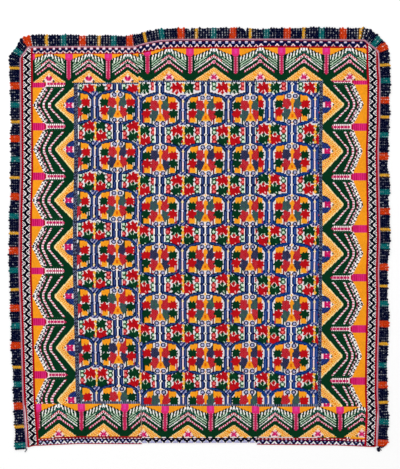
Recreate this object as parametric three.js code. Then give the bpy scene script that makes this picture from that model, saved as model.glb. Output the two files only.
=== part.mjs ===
// A hand-brocaded kilim rug of three loom widths, lying flat with its face up. The three panels are
// joined side by side. A thin cord is sewn round the left side, the top and the right side, and a
// crocheted band is worked on outside the cord. The bottom edge is left plain.
// Units are millimetres. +Z is up, +Y runs from the plain bottom edge to the top, and the origin is
// on the surface that the rug lies on, at the middle of its outline.
import * as THREE from "three";

const CLOTH_THICKNESS = 3;
const CORD_THICKNESS = 4.6;
const EDGING_THICKNESS = 4;
const GAP = 0.3;
const HALF_GAP = GAP / 2;

// The seam line where the cord meets the crochet: up the left side, along the top and down the
// right side. Hand looms and washing leave it uneven, so each row is a place where it bends.
const SEWN_LINE = [
  { x: -591, y: -709, at: "bottom left" },
  { x: -598, y: -620, at: "left side" },
  { x: -604, y: -530, at: "left side" },
  { x: -606, y: -440, at: "left side" },
  { x: -610, y: -310, at: "left side" },
  { x: -617, y: -105, at: "left side" },
  { x: -615, y: 95, at: "left side" },
  { x: -611, y: 235, at: "left side" },
  { x: -613, y: 615, at: "left chamfer" },
  { x: -585, y: 654, at: "top left" },
  { x: -400, y: 656, at: "top" },
  { x: -225, y: 655, at: "top step" },
  { x: -190, y: 666, at: "top step" },
  { x: -140, y: 676, at: "top step" },
  { x: -84, y: 680, at: "top" },
  { x: 240, y: 681, at: "top" },
  { x: 560, y: 678, at: "right chamfer" },
  { x: 608, y: 639, at: "top right" },
  { x: 614, y: 540, at: "right side" },
  { x: 612, y: 400, at: "right side" },
  { x: 608, y: 300, at: "right side" },
  { x: 613, y: 0, at: "right side" },
  { x: 609, y: -105, at: "right side" },
  { x: 611, y: -205, at: "right side" },
  { x: 606, y: -410, at: "right side" },
  { x: 605, y: -520, at: "right side" },
  { x: 609, y: -600, at: "right side" },
  { x: 603, y: -706, at: "bottom right" },
];

// Where the loom widths are joined, from top to bottom.
const LEFT_SEAM = [
  { x: -210, y: 700 },
  { x: -207, y: 300 },
  { x: -211, y: 50 },
  { x: -207, y: -300 },
  { x: -203, y: -560 },
  { x: -197, y: -720 },
];
const RIGHT_SEAM = [
  { x: 198, y: 700 },
  { x: 199, y: 300 },
  { x: 196, y: -200 },
  { x: 194, y: -720 },
];

// The plain bottom edge of each loom width, from left to right.
const BOTTOM_LEFT = [
  { x: -566, y: -703 },
  { x: -408, y: -696 },
  { x: -215, y: -697 },
];
const BOTTOM_MIDDLE = [
  { x: -190, y: -693 },
  { x: 188, y: -692 },
];
const BOTTOM_RIGHT = [
  { x: 200, y: -699 },
  { x: 460, y: -701 },
  { x: 590, y: -707 },
];

// The crocheted band: its reach beyond the cord, and the picots along its outer edge.
const EDGING_REACH = { side: 32, top: 37 };
const EDGING_WANDER = [
  { size: 1.4, wave: 610 },
  { size: 0.9, wave: 233 },
];
const PICOT_PITCH = 14;
const PICOT_DEPTH = 2.6;
const EDGING_OVERRUN = { left: 5, right: -3 };
const EDGING_RIGHT_TIP = [
  { x: 631, y: -709 },
  { x: 621, y: -713 },
];

// Loose ends of yarn at the two bottom corners, each a short bent strip.
const TUFT = {
  thickness: 4,
  width: 9,
  path: [{ x: 605, y: -713 }, { x: 608, y: -717 }, { x: 613, y: -724 }],
};
const THREAD = {
  thickness: 3,
  width: 3.4,
  path: [{ x: -588, y: -712 }, { x: -590, y: -718 }, { x: -596, y: -724 }],
};

const FINISH = {
  panel_left: { color: 0x9a4a3a, roughness: 0.9 },
  panel_middle: { color: 0x2c4488, roughness: 0.9 },
  panel_right: { color: 0xa8603a, roughness: 0.9 },
  edge_cord: { color: 0xd098a8, roughness: 0.85 },
  crochet_edging: { color: 0x101838, roughness: 0.9 },
  yarn_tuft: { color: 0x0c1028, roughness: 0.95 },
  thread_end: { color: 0x4a4a52, roughness: 0.9 },
};

const vector = (row) => new THREE.Vector2(row.x, row.y);

// The unit direction square to a line's left at one of its points, stretched so that an offset keeps
// its distance from both neighbouring stretches.
function mitre(points, index) {
  const before = points[Math.max(index - 1, 0)];
  const after = points[Math.min(index + 1, points.length - 1)];
  const here = points[index];
  const arriving = index > 0 ? here.clone().sub(before).normalize() : after.clone().sub(here).normalize();
  const leaving = index < points.length - 1 ? after.clone().sub(here).normalize() : arriving.clone();
  const left = new THREE.Vector2(-arriving.y - leaving.y, arriving.x + leaving.x).normalize();
  const stretch = left.dot(new THREE.Vector2(-leaving.y, leaving.x));
  return left.divideScalar(stretch);
}

// A line moved to its left by a distance, which may change along it.
function moved(points, distance) {
  return points.map((point, index) => {
    const reach = typeof distance === "function" ? distance(point, index) : distance;
    return point.clone().addScaledVector(mitre(points, index), reach);
  });
}

// A line with its two ends drawn out, or drawn in where the length is negative.
function lengthened(points, startBy, endBy) {
  const start = points[0].clone().sub(points[1]).setLength(startBy).add(points[0]);
  const end = points.at(-1).clone().sub(points.at(-2)).setLength(endBy).add(points.at(-1));
  return [start, ...points.slice(1, -1), end];
}

// Even points along a line, close to a wanted pitch, with its corners kept.
function evenPoints(points, pitch) {
  const result = [];
  for (let index = 0; index < points.length - 1; index += 1) {
    const length = points[index].distanceTo(points[index + 1]);
    const steps = Math.max(1, Math.round(length / pitch));
    for (let step = 0; step < steps; step += 1) {
      result.push(points[index].clone().lerp(points[index + 1], step / steps));
    }
  }
  result.push(points[points.length - 1].clone());
  return result;
}

// The x of a top-to-bottom line at a height.
function acrossAt(line, y) {
  const below = Math.max(1, line.findIndex((row) => row.y <= y));
  const upper = line[below - 1];
  const lower = line[below];
  return upper.x + ((lower.x - upper.x) * (upper.y - y)) / (upper.y - lower.y);
}

// The height of the cloth's top edge at an x between its two chamfers.
function topAt(line, x) {
  const after = line.findIndex((point, index) => index > 0 && point.x >= x && line[index - 1].x < x && point.y > 0);
  const share = (x - line[after - 1].x) / (line[after].x - line[after - 1].x);
  return THREE.MathUtils.lerp(line[after - 1].y, line[after].y, share);
}

// A closed flat outline given a thickness, standing on z = 0.
function slab(outline, thickness) {
  return new THREE.ExtrudeGeometry(new THREE.Shape(outline), { depth: thickness, bevelEnabled: false });
}

// The same, with its upper and lower edges rounded off as a cord's are.
function roundedSlab(outline, thickness, rounding) {
  const geometry = new THREE.ExtrudeGeometry(new THREE.Shape(outline), {
    depth: thickness - 2 * rounding,
    bevelEnabled: true,
    bevelThickness: rounding,
    bevelSize: rounding,
    bevelOffset: -rounding,
    bevelSegments: 2,
  });
  return geometry.translate(0, 0, rounding);
}

const sewnLine = SEWN_LINE.map(vector);
const cordInside = moved(sewnLine, -CORD_THICKNESS);
const clothEdge = moved(sewnLine, -CORD_THICKNESS - GAP);

// One side of a seam, from top to bottom, between the cloth's top edge and its bottom edge.
function seamSide(seam, side, bottom) {
  const x = acrossAt(seam, 670) + side * HALF_GAP;
  const inner = seam.slice(1, -1).map((row) => new THREE.Vector2(row.x + side * HALF_GAP, row.y));
  return [
    new THREE.Vector2(x, topAt(clothEdge, x)),
    ...inner,
    new THREE.Vector2(acrossAt(seam, bottom) + side * HALF_GAP, bottom),
  ];
}

function leftPanel() {
  const seam = seamSide(LEFT_SEAM, -1, BOTTOM_LEFT.at(-1).y);
  const edge = clothEdge.filter((point) => point.x < seam[0].x);
  return slab([...edge, ...seam, ...BOTTOM_LEFT.map(vector).reverse()], CLOTH_THICKNESS);
}

function middlePanel() {
  const left = seamSide(LEFT_SEAM, 1, BOTTOM_MIDDLE[0].y).reverse();
  const right = seamSide(RIGHT_SEAM, -1, BOTTOM_MIDDLE.at(-1).y);
  const top = clothEdge.filter((point) => point.x > left.at(-1).x && point.x < right[0].x);
  return slab([...left, ...top, ...right, ...BOTTOM_MIDDLE.map(vector).reverse()], CLOTH_THICKNESS);
}

function rightPanel() {
  const seam = seamSide(RIGHT_SEAM, 1, BOTTOM_RIGHT[0].y).reverse();
  const edge = clothEdge.filter((point) => point.x > seam.at(-1).x);
  return slab([...seam, ...edge, ...BOTTOM_RIGHT.map(vector).reverse()], CLOTH_THICKNESS);
}

function edgeCord() {
  return roundedSlab([...sewnLine, ...cordInside.reverse()], CORD_THICKNESS, CORD_THICKNESS / 4);
}

function edgingReach(point) {
  const base = point.y > 600 ? EDGING_REACH.top : EDGING_REACH.side;
  const along = point.x + 2 * point.y;
  return EDGING_WANDER.reduce((reach, row) => reach + row.size * Math.sin((along * 2 * Math.PI) / row.wave), base);
}

function crochetEdging() {
  const inner = lengthened(moved(sewnLine, GAP), EDGING_OVERRUN.left, EDGING_OVERRUN.right);
  const picots = evenPoints(inner, PICOT_PITCH / 2);
  const outer = moved(picots, (point, index) => edgingReach(point) - (index % 2) * PICOT_DEPTH);
  return slab([...outer, ...EDGING_RIGHT_TIP.map(vector), ...inner.reverse()], EDGING_THICKNESS);
}

function looseEnd(end) {
  const middle = end.path.map(vector);
  const left = moved(middle, end.width / 2);
  const right = moved(middle, -end.width / 2);
  return roundedSlab([...left, ...right.reverse()], end.thickness, end.thickness / 4);
}

const GEOMETRIES = {
  panel_left: leftPanel(),
  panel_middle: middlePanel(),
  panel_right: rightPanel(),
  edge_cord: edgeCord(),
  crochet_edging: crochetEdging(),
  yarn_tuft: looseEnd(TUFT),
  thread_end: looseEnd(THREAD),
};

const rug = new THREE.Group();
for (const [name, geometry] of Object.entries(GEOMETRIES)) {
  const material = new THREE.MeshStandardMaterial({ metalness: 0, ...FINISH[name] });
  const piece = new THREE.Mesh(geometry, material);
  piece.name = name;
  rug.add(piece);
}
const outline = new THREE.Box3().setFromObject(rug);
rug.position.set(-(outline.min.x + outline.max.x) / 2, -(outline.min.y + outline.max.y) / 2, 0);
rug.updateMatrixWorld(true);

export default rug;
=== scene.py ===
import math

import bmesh
import bpy
import numpy as np
from mathutils import Matrix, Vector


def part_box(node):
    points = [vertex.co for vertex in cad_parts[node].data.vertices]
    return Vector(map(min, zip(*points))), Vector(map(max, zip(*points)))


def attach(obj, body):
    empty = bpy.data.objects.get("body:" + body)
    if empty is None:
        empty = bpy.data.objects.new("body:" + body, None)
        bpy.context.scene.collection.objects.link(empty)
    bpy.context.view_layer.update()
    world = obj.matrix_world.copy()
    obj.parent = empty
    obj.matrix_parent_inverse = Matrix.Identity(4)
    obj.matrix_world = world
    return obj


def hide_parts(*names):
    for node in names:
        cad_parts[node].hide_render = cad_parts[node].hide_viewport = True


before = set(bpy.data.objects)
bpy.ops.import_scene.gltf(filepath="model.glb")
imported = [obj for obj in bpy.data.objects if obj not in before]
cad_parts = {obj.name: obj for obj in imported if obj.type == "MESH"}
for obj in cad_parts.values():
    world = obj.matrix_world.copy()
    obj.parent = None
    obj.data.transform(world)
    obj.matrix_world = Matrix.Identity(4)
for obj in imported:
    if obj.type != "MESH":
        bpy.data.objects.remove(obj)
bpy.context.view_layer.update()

MM = 0.001
TAU = 2 * math.pi


# ---------------------------------------------------------------- camera, light and floor
VIEW_CENTRE = (1.7, 18.8)
VIEW_HEIGHT = 1594.6
CAMERA_DISTANCE = 4000
WORLD_STRENGTH = 0.86
# The lamp and the floor are in metres, radians and watts.
LAMP = {"width": 2.5, "power": 36, "place": (-1.3, 1.9, 3.0), "turn": (-0.565, -0.35, 0)}
FLOOR_REACH = 6


def add_object(name, data):
    thing = bpy.data.objects.new(name, data)
    bpy.context.scene.collection.objects.link(thing)
    return thing


def into_mesh(bm, mesh):
    """Writes a bmesh into a mesh and lets the bmesh go."""
    bm.to_mesh(mesh)
    bm.free()
    return mesh


def flat_grid(name, columns, rows, reach):
    """A flat mesh of columns by rows faces, which reaches the same distance from its middle on all sides."""
    bm = bmesh.new()
    bmesh.ops.create_grid(bm, x_segments=columns, y_segments=rows, size=reach)
    return into_mesh(bm, bpy.data.meshes.new(name))


def make_camera():
    """Looks straight down on the rug from far enough that its face is seen flat."""
    data = bpy.data.cameras.new("overhead camera")
    data.lens = data.sensor_width * CAMERA_DISTANCE / VIEW_HEIGHT
    data.clip_end = 20
    camera = add_object("overhead camera", data)
    camera.location = (VIEW_CENTRE[0] * MM, VIEW_CENTRE[1] * MM, CAMERA_DISTANCE * MM)
    bpy.context.scene.camera = camera


def make_light():
    """Even white light with a slightly stronger lamp from the upper left."""
    world = bpy.data.worlds.new("soft studio")
    world.use_nodes = True
    world.node_tree.nodes["Background"].inputs["Color"].default_value = (1, 1, 1, 1)
    world.node_tree.nodes["Background"].inputs["Strength"].default_value = WORLD_STRENGTH
    bpy.context.scene.world = world
    bpy.context.scene.view_settings.view_transform = "Standard"
    data = bpy.data.lights.new("large soft lamp", "AREA")
    data.shape = "SQUARE"
    data.size = LAMP["width"]
    data.energy = LAMP["power"]
    lamp = add_object("large soft lamp", data)
    lamp.location = LAMP["place"]
    lamp.rotation_euler = LAMP["turn"]


def make_floor():
    """A plain pale floor for the rug to lie on."""
    mesh = flat_grid("pale_floor", 1, 1, FLOOR_REACH)
    mesh.materials.append(floor_paint())
    add_object("pale_floor", mesh)


# ---------------------------------------------------------------- yarns and stitches
YARNS = {
    "white": "#F3EFEE",
    # the ground weave between the floats: white cotton, painted darker than the white floats as painted shade
    # of its recess
    "shaded ground": "#E2DCDE",
    "pink white": "#F6D6DA",
    "pink": "#EE9CB4",
    "black": "#0A0A16",
    "navy": "#141C50",
    "night blue": "#0A123C",
    "sky": "#44548C",
    "bright blue": "#1C3268",
    "teal": "#2E6E6A",
    "orchid": "#E03C98",
    "ink": "#10103A",
    "corner blue": "#263A7E",
    "blue": "#3C4C9C",
    "teal blue": "#26467E",
    "royal": "#14428C",
    "dark royal": "#0A1E5C",
    "lavender": "#A8AAD2",
    "dark green": "#09331C",
    "leaf green": "#0A4424",
    "pale green": "#C4E0C4",
    "grey green": "#3C6448",
    "slate": "#363A5C",
    "red": "#B61219",
    "rose": "#B83440",
    "coral": "#F07070",
    "maroon": "#7A0620",
    "edge red": "#A00818",
    "magenta": "#BE1458",
    "bright magenta": "#DE2C76",
    "orange": "#F49A20",
    "deep orange": "#E0640C",
    "yellow": "#EEB03A",
    "pale yellow": "#F4DCA0",
    "speckle navy": "#28243C",
    "speckle grey": "#70809A",
}
YARN_NAMES = list(YARNS)
# The width and height of one stitch.
STITCH = (2.38, 2.86)


class Cloth:
    """The stitches of one loom width, all in the ground yarn, whose white is painted darker as painted shade,
    until a motif is put on them.

    Each stitch knows how far across the loom and how far up it lies, and how far from the cloth's edges.
    x is where it comes to lie once the cloth is finished, which wanders a little from across."""

    def __init__(self, x, up, across, to_top, to_foot, to_side):
        self.x, self.up, self.across = x, up, across
        self.to_top, self.to_foot, self.to_side = to_top, to_foot, to_side
        # every stitch starts in the ground yarn, its white painted darker as painted shade
        self.yarn = np.full(x.shape, YARN_NAMES.index("shaded ground"))

    def put(self, inside, yarn):
        self.yarn[inside] = YARN_NAMES.index(yarn)

    def brush(self, zone):
        """A put that keeps to one zone of the cloth. It takes True for the whole zone."""
        return lambda inside, yarn: self.put(zone & inside, yarn)


class Motif:
    """A window on a cloth with its own middle, so that a shape is drawn once and woven many times."""

    def __init__(self, cloth, x, y, half_width, half_height):
        near = (abs(cloth.across - x) < half_width) & (abs(cloth.up - y) < half_height)
        self.cloth = cloth
        self.place = np.nonzero(near)
        self.across = cloth.across[near] - x
        self.up = cloth.up[near] - y

    def put(self, inside, yarn):
        rows, columns = self.place
        self.cloth.yarn[rows[inside], columns[inside]] = YARN_NAMES.index(yarn)

    def box(self, left, right, low, high):
        return between(self.across, left, right) & between(self.up, low, high)

    def side_box(self, side, near, far, low, high):
        """A box that lies from near to far on the right of the middle (side 1) or on the left (side -1)."""
        return self.box(*sorted((side * near, side * far)), low, high)

    def diamond(self, x, y, half_width, half_height):
        return abs(self.across - x) / half_width + abs(self.up - y) / half_height < 1

    def disc(self, x, y, radius):
        return np.hypot(self.across - x, self.up - y) < radius

    def oval(self, x, y, half_width, half_height):
        return ((self.across - x) / half_width) ** 2 + ((self.up - y) / half_height) ** 2 < 1

    def star(self, x, y, half_width, half_height, spikes, turn, taper, square):
        """A jagged leaf that nearly fills a box. taper above 0 narrows it toward the top."""
        up = (self.up - y) / half_height
        across = (self.across - x) / (half_width * (1 - taper * np.clip(up, -1, 1)))
        reach = (abs(across) ** square + abs(up) ** square) ** (1 / square)
        angle = np.arctan2(up, across)
        return reach < 1.05 + 0.17 * np.cos(spikes * angle + turn) + 0.08 * np.cos(4 * angle + 2.6 * turn)

    def stroke(self, width, *corners):
        """Within half a width of the line through the corners, each corner an (x, y)."""
        inside = np.zeros(self.across.shape, bool)
        for (x0, y0), (x1, y1) in zip(corners, corners[1:]):
            length = (x1 - x0) ** 2 + (y1 - y0) ** 2
            share = ((self.across - x0) * (x1 - x0) + (self.up - y0) * (y1 - y0)) / length
            share = np.clip(share, 0, 1)
            away = np.hypot(self.across - x0 - share * (x1 - x0), self.up - y0 - share * (y1 - y0))
            inside |= away < width / 2
        return inside


def between(reading, low, high):
    """True where a reading lies between two limits, either of which may change from stitch to stitch."""
    return (reading > low) & (reading < high)


def every(run, pitch, width, start=0.0):
    """True over a width at the start of each pitch."""
    return np.mod(run - start, pitch) < width


def counted(distance, stitch):
    """A distance as a whole number of stitches, so that a fine repeat stays even."""
    return np.round(distance / stitch).astype(int)


def wave(along, peaks, trunks):
    """How far each stitch is on the way from the nearest peak (0) to the nearest trunk (1)."""
    stops = sorted([(p, 0.0) for p in peaks] + [(t, 1.0) for t in trunks])
    return np.interp(along, [s[0] for s in stops], [s[1] for s in stops])


def nearest(along, places):
    """How far past the nearest of some places each stitch is, and negative before it."""
    places = np.array(sorted(places), float)
    gaps = along[..., None] - places
    pick = abs(gaps).argmin(-1)
    return np.take_along_axis(gaps, pick[..., None], -1)[..., 0]


# ---------------------------------------------------------------- field
LEAF = {"g": "dark green", "R": "red", "r": "rose"}
# The yarn of a leaf with the letter k, which changes from row to row of medallions.
ROW_LEAF = ("grey green", "slate")
DEEPER = {"red": "edge red", "dark green": "leaf green"}
HATCH = {"rose": "red", "grey green": "slate", "slate": "speckle navy"}

# Each leaf of a medallion's left half: its middle, half its size, its spikes and how they are turned,
# how much it narrows toward the top, and how square it is.
LEAVES = {
    "outer top": (-45.2, 14.0, 14.4, 13.8, 9, 1.2, 0.0, 2.2),
    "inner top": (-18.0, 17.0, 14.2, 18.8, 5, 0.6, 0.12, 2.0),
    "outer foot": (-45.2, -13.4, 14.4, 13.6, 7, 2.4, -0.12, 2.2),
    "inner foot": (-18.5, -19.0, 14.2, 18.0, 5, 2.2, -0.1, 2.0),
}
LEAF_ORDER = ("outer top", "inner top", "inner top", "outer top",
              "outer foot", "inner foot", "inner foot", "outer foot")
# The stem beside a leaf: its reach across, its reach upward, and its yarn beside a red or rose leaf.
STEMS = {
    "inner top": (24, 27.6, 30, 48, "red"),
    "outer foot": (54.0, 57.5, -44, -20, "rose"),
    "inner foot": (25, 29.5, -48, -28, "maroon"),
}

# The four leaves round the middle of a block, with the same columns as LEAVES.
STARS = (
    (-19.6, 12.5, 18.8, 17.5, 8, 0.4, 0.0, 2.6),
    (19.2, 12.5, 17.6, 18.0, 9, 1.2, 0.0, 2.4),
    (-19.4, -19.6, 18.6, 17.0, 7, 2.2, 0.2, 2.6),
    (19.0, -19.6, 19.2, 17.6, 7, 2.2, 0.15, 2.8),
)

# The yarns of a bar or arm, from its edges inward.
BLUES = {
    "panel_left": ("night blue", "bright blue", "teal blue"),
    "panel_middle": ("night blue", "bright blue", "teal blue"),
    "panel_right": ("dark royal", "royal", "royal"),
}
# The heights that the upper and lower arms of a medallion's frame pass, from the bars inward.
UPPER_ARM = (30, 42, 48.5, 52.5, 57)
LOWER_ARM = (-33, -41, -48.5, -53, -58.5)
SCROLL_RADIUS = 8.4
# How far to the left a block's chain of rings stands, where the field's edge leaves room for it.
RING_REACH = 50.0


def bar(m, side, near, far, low, high, blues):
    """An upright bar on one side of a motif's middle, with dark edges and a lighter heart."""
    middle = (near + far) / 2
    m.put(m.side_box(side, near, far, low, high), blues[0])
    m.put(m.side_box(side, middle - 3.6, middle + 3.6, low, high), blues[1])
    m.put(m.side_box(side, middle - 1.2, middle + 1.2, low, high), "sky")


def frame_side(m, side, half, drop, blues):
    """One side of the blue frame round a medallion: its two arms, and the bars between their ends."""
    row, step = counted(m.up, STITCH[1]), counted(m.across, STITCH[0])
    across = [side * reach for reach in (half - 8, half - 17, half - 30, 32, 13)]
    upper = list(zip(across, [up - drop for up in UPPER_ARM]))
    lower = list(zip(across, LOWER_ARM))
    # round the bars the spaces between two frames are filled with blues and a light spot
    filled = m.oval(side * (half - 5), 41, 9, 12) | m.oval(side * (half - 5), -42, 9, 10)
    m.put(filled, "night blue")
    m.put(filled & ((row + step) % 3 == 0), "blue")
    m.put(filled & ((row - step) % 5 == 0), "lavender")
    m.put(m.oval(side * (half - 8), 44, 2.6, 3.4) | m.oval(side * (half - 8), -42, 2.6, 3.0), "lavender")
    for width, yarn in ((12.4, blues[0]), (4.0, blues[2])):
        m.put(m.stroke(width, *upper) | m.stroke(width, *lower), yarn)
    bar(m, side, half - 13.4, half - 2.4, -2, 32, blues)
    bar(m, side, half - 15.0, half - 2.4, -42, -2, blues)
    m.put(m.side_box(side, half - 15.6, half - 2.4, -3, 3), blues[0])


def neck(m):
    """The white lines above and below a medallion, with their small diamonds, which run into the scrolls."""
    lines = m.stroke(3.4, (-17, 40), (0, 58), (17, 40)) | m.stroke(3.4, (-18, -38), (0, -57), (17, -38))
    m.put(lines, "pink white")
    m.put(m.diamond(0, 50, 8.4, 10) | m.diamond(0, -48, 8.4, 9), "white")
    m.put(m.diamond(0, 52, 4.4, 5), "yellow")
    m.put(m.diamond(0, -49, 3.6, 4), "orange")


def corner_patches(m, side, half, drop):
    """The yellow patches at a medallion's upper and lower corner, the upper one cut along the frame."""
    beside = side * m.across
    slant = beside + (m.up + drop) * 1.1
    patch = m.side_box(side, 27.5, half - 23, 24, 47 - drop) & (slant < half + 22)
    patch &= m.up + drop < 46.5 - 0.16 * (beside - 31)
    m.put(patch, "orange")
    m.put(patch & ((m.up < 27) | (slant > half + 17)), "yellow")
    patch = m.side_box(side, 31, 52.5, -43.5, -20)
    m.put(patch, "orange")
    m.put(patch & (beside < 33.5), "pale yellow")
    m.put(patch & (m.up < -40.5), "yellow")


def leaf(m, place, side, yarn, drop):
    """A jagged leaf on one side of a medallion's middle, hatched in a second tone, and the stem beside it."""
    x, *shape = LEAVES[place]
    inside = m.star(-side * x, *shape)
    m.put(inside, yarn)
    if yarn in HATCH:
        hatch = every(m.across * 1.2 + m.up, 9.0, 2.6) | every(m.across - m.up, 9.0, 2.4)
        m.put(inside & hatch, HATCH[yarn])
    if place in STEMS:
        near, far, low, high, warm = STEMS[place]
        stem = m.side_box(side, near, far, low, high - drop if high > 0 else high)
        m.put(stem, warm if yarn in ("red", "rose") else "dark green")


def vase(m):
    """The vase up a medallion's middle, with a narrow neck and a broad foot."""
    body = m.diamond(1, 25, 8.6, 15) | m.box(-2.8, 3.4, -16, 24)
    foot = between(m.up, -38.5, -12) & (abs(m.across - 0.6) < 4.6 - 0.48 * (m.up + 12))
    m.put(body | foot, "orange")
    m.put(m.box(-2.8, 3.4, -8, 5), "deep orange")
    m.put(foot & between(m.up, -30, -20) & (abs(m.across) < 4), "deep orange")
    m.put(foot & (m.up < -35.5), "yellow")


def scroll(m, x, y):
    """The curled end of a neck: a dark ring with a pale heart, set off from the arm it lies on."""
    # a ring of the ground yarn, its white painted darker as painted shade, sets the scroll off
    m.put(m.disc(x, y, SCROLL_RADIUS + 1.6), "shaded ground")
    m.put(m.disc(x, y, SCROLL_RADIUS), "night blue")
    m.put(m.disc(x, y, SCROLL_RADIUS - 4.0), "lavender")


def medallion(cloth, x, y, leaves, row_leaf, blues, reach, drop):
    """reach is how far it is to the middle of the bar pair on each side, and drop lowers its upper arms."""
    m = Motif(cloth, x, y, 80, 60)
    sides = ((-1, reach[0]), (1, reach[1]))
    for side, half in sides:
        frame_side(m, side, half, drop, blues)
    neck(m)
    for side, half in sides:
        corner_patches(m, side, half, drop)
    for number, letter in enumerate(leaves):
        if letter != "-":
            leaf(m, LEAF_ORDER[number], -1 if number % 4 < 2 else 1, LEAF.get(letter, row_leaf), drop)
    vase(m)
    for across, up in ((-10.6, 42.5 - 0.5 * drop), (10.2, 42.5 - 0.5 * drop), (-11.0, -46), (10.6, -46)):
        scroll(m, across, up)


def star_leaf(m, shape, yarn):
    """A leaf of a block, with light veins cut in from its edges and a fold of a second tone."""
    x, y = shape[:2]
    inside = m.star(*shape)
    m.put(inside, yarn)
    m.put(inside & m.stroke(3, (x - 10, y + 4), (x, y + 8), (x + 10, y - 6)), DEEPER[yarn])
    lean = 1 if y > 0 else -1
    veins = m.stroke(2.4, (x - lean * 7, y + 15 * lean), (x - lean * 4, y + 10 * lean))
    for root, tip in ((-3, -9), (3, 8)):
        veins |= m.stroke(2.4, (x + root, y - 8 * lean), (x + tip, y - 16 * lean))
    m.put(veins, "pink white" if yarn == "red" else "pale green")


def figure_eight(m, x, y, yarn):
    """One ring over another, each with a light heart."""
    light, outline = ("coral", "edge red") if yarn == "red" else ("pale green", "leaf green")
    for middle in (y, y - 14.6):
        m.put(m.oval(x, middle, 9.2, 8.8), outline)
        m.put(m.oval(x, middle, 4.8, 4.4), light)


def block(cloth, x, y, leaves, rings, field_left):
    """Jagged leaves between two bars, with a chain of rings on each side of them. A block of two leaves
    is a half block. rings holds the letters of the left and the right chain."""
    left = max(-RING_REACH, field_left + 9 - x)
    x += (left + RING_REACH) * 0.35
    m = Motif(cloth, x, y, 76, 56)
    whole = len(leaves) == len(STARS)
    for shape, letter in zip(STARS, leaves):
        star_leaf(m, shape, LEAF[letter])
    m.put(m.box(-0.6, 3.6, -36 if whole else 0, 28), "pale yellow")
    for up in (24, 4, -8, -30) if whole else (24, 4):
        m.put(m.diamond(1.4, up, 5.2, 8), "yellow")
    for across, chain in ((left * 0.99, rings[0]), (49.0, rings[1])):
        for letter, up in zip(chain, (22.5, -9.5) if whole else (26,)):
            figure_eight(m, across, up, LEAF[letter])


def post_pair(cloth, x, low, high, blues):
    """Two bars side by side, with a white line and a small diamond between them."""
    half = (high - low) / 2
    m = Motif(cloth, x, (low + high) / 2, 20, half)
    m.put(m.box(-19.5, 19.5, -half, half), "white")
    for side in (-1, 1):
        bar(m, side, 2.4, 16.2, -half, half, blues)
        m.put(m.side_box(side, 2.4, 17.8, -3, 3), blues[0])
    m.put(m.diamond(0, 0, 6.4, 7.5), "white")
    m.put(m.diamond(0, 0, 2.6, 3.4), "black")


def thin_post(cloth, x, y):
    """The light line between two medallions, with a diamond at each end and one in its middle."""
    m = Motif(cloth, x, y, 8, 48)
    m.put(m.box(-1.7, 1.7, -42, 36), "pink white")
    m.put(m.diamond(0, 29, 4.6, 5.5) | m.diamond(0, -36, 4.6, 5.5), "pale yellow")
    m.put(m.diamond(0, 0, 5.6, 6.5), "lavender")
    m.put(m.diamond(0, 0, 2.4, 3.2), "white")


# A medallion's leaves, from left to right in its upper half and then in its lower half. g is a dark
# green leaf, R red, r rose, k the row's own yarn, and - none.
GREEN_FIRST = "grkRRkrg"
RED_FIRST = "RkrggrkR"
# Where the middles of the motifs lie: the columns by x, and the rows by height from the top down.
# A medallion is named by its leaves, and a block by its letter in BLOCKS.
FIELD = {
    "panel_left": {
        "medallion rows": (453, 284, 117, -48, -214, -382, -548),
        "block rows": (524, 373, 198, 31, -134, -301, -467),
        "medallions": {
            -434: (GREEN_FIRST,) * 7,
            -280: (GREEN_FIRST,) * 4 + ("gkrRRrkg", "gkrggrkR", "grkg----"),
        },
        "blocks": {
            -358: "PPPPPPX",
            -207: "PPPYPYQ",
        },
    },
    "panel_middle": {
        "medallion rows": (442, 272, 100, -66, -236, -399, -560),
        "block rows": (519, 358, 189, 20, -144, -314, -478),
        "medallions": {
            -135: (GREEN_FIRST, "gkrRRrkg", RED_FIRST, RED_FIRST, "RkrRgrkg", RED_FIRST, "Rkrg----"),
            20: (GREEN_FIRST,) * 6 + ("grkR----",),
            171: (GREEN_FIRST, "gkrggrkg", "gkrggrkg", "grkgRkrg", GREEN_FIRST, GREEN_FIRST, "grkR----"),
        },
        "blocks": {
            -207: "PPPYPYQ",
            -57: "PPPQPPQ",
            98: "PPPPPPP",
            236: "PPQQQPP",
        },
    },
    "panel_right": {
        "medallion rows": (448, 275, 100, -69, -239, -401, -560),
        "block rows": (519, 363, 194, 18, -150, -321, -481),
        "medallions": {
            158: (GREEN_FIRST, "gkrgRrkR", "gkrgRrkR", "grkgRkrR", GREEN_FIRST, GREEN_FIRST, "grkR----"),
            314: (GREEN_FIRST,) + (RED_FIRST,) * 3 + (GREEN_FIRST,) * 2 + ("grkR----",),
            468: (GREEN_FIRST,) * 6 + ("grkR----",),
        },
        "blocks": {
            236: "PPQQQPP",
            392: "PPQQQPP",
        },
    },
}
# The leaves of a block, and the rings of its left and its right chain.
BLOCKS = {
    "P": ("RggR", ("gR", "Rg")),
    "Q": ("gRRg", ("Rg", "gR")),
    "X": ("RRgg", ("gR", "gR")),
    "Y": ("RRgg", ("gR", "Rg")),
}
# How far a medallion's frame reaches on a side with no column of blocks.
EDGE_REACH = 77


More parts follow.
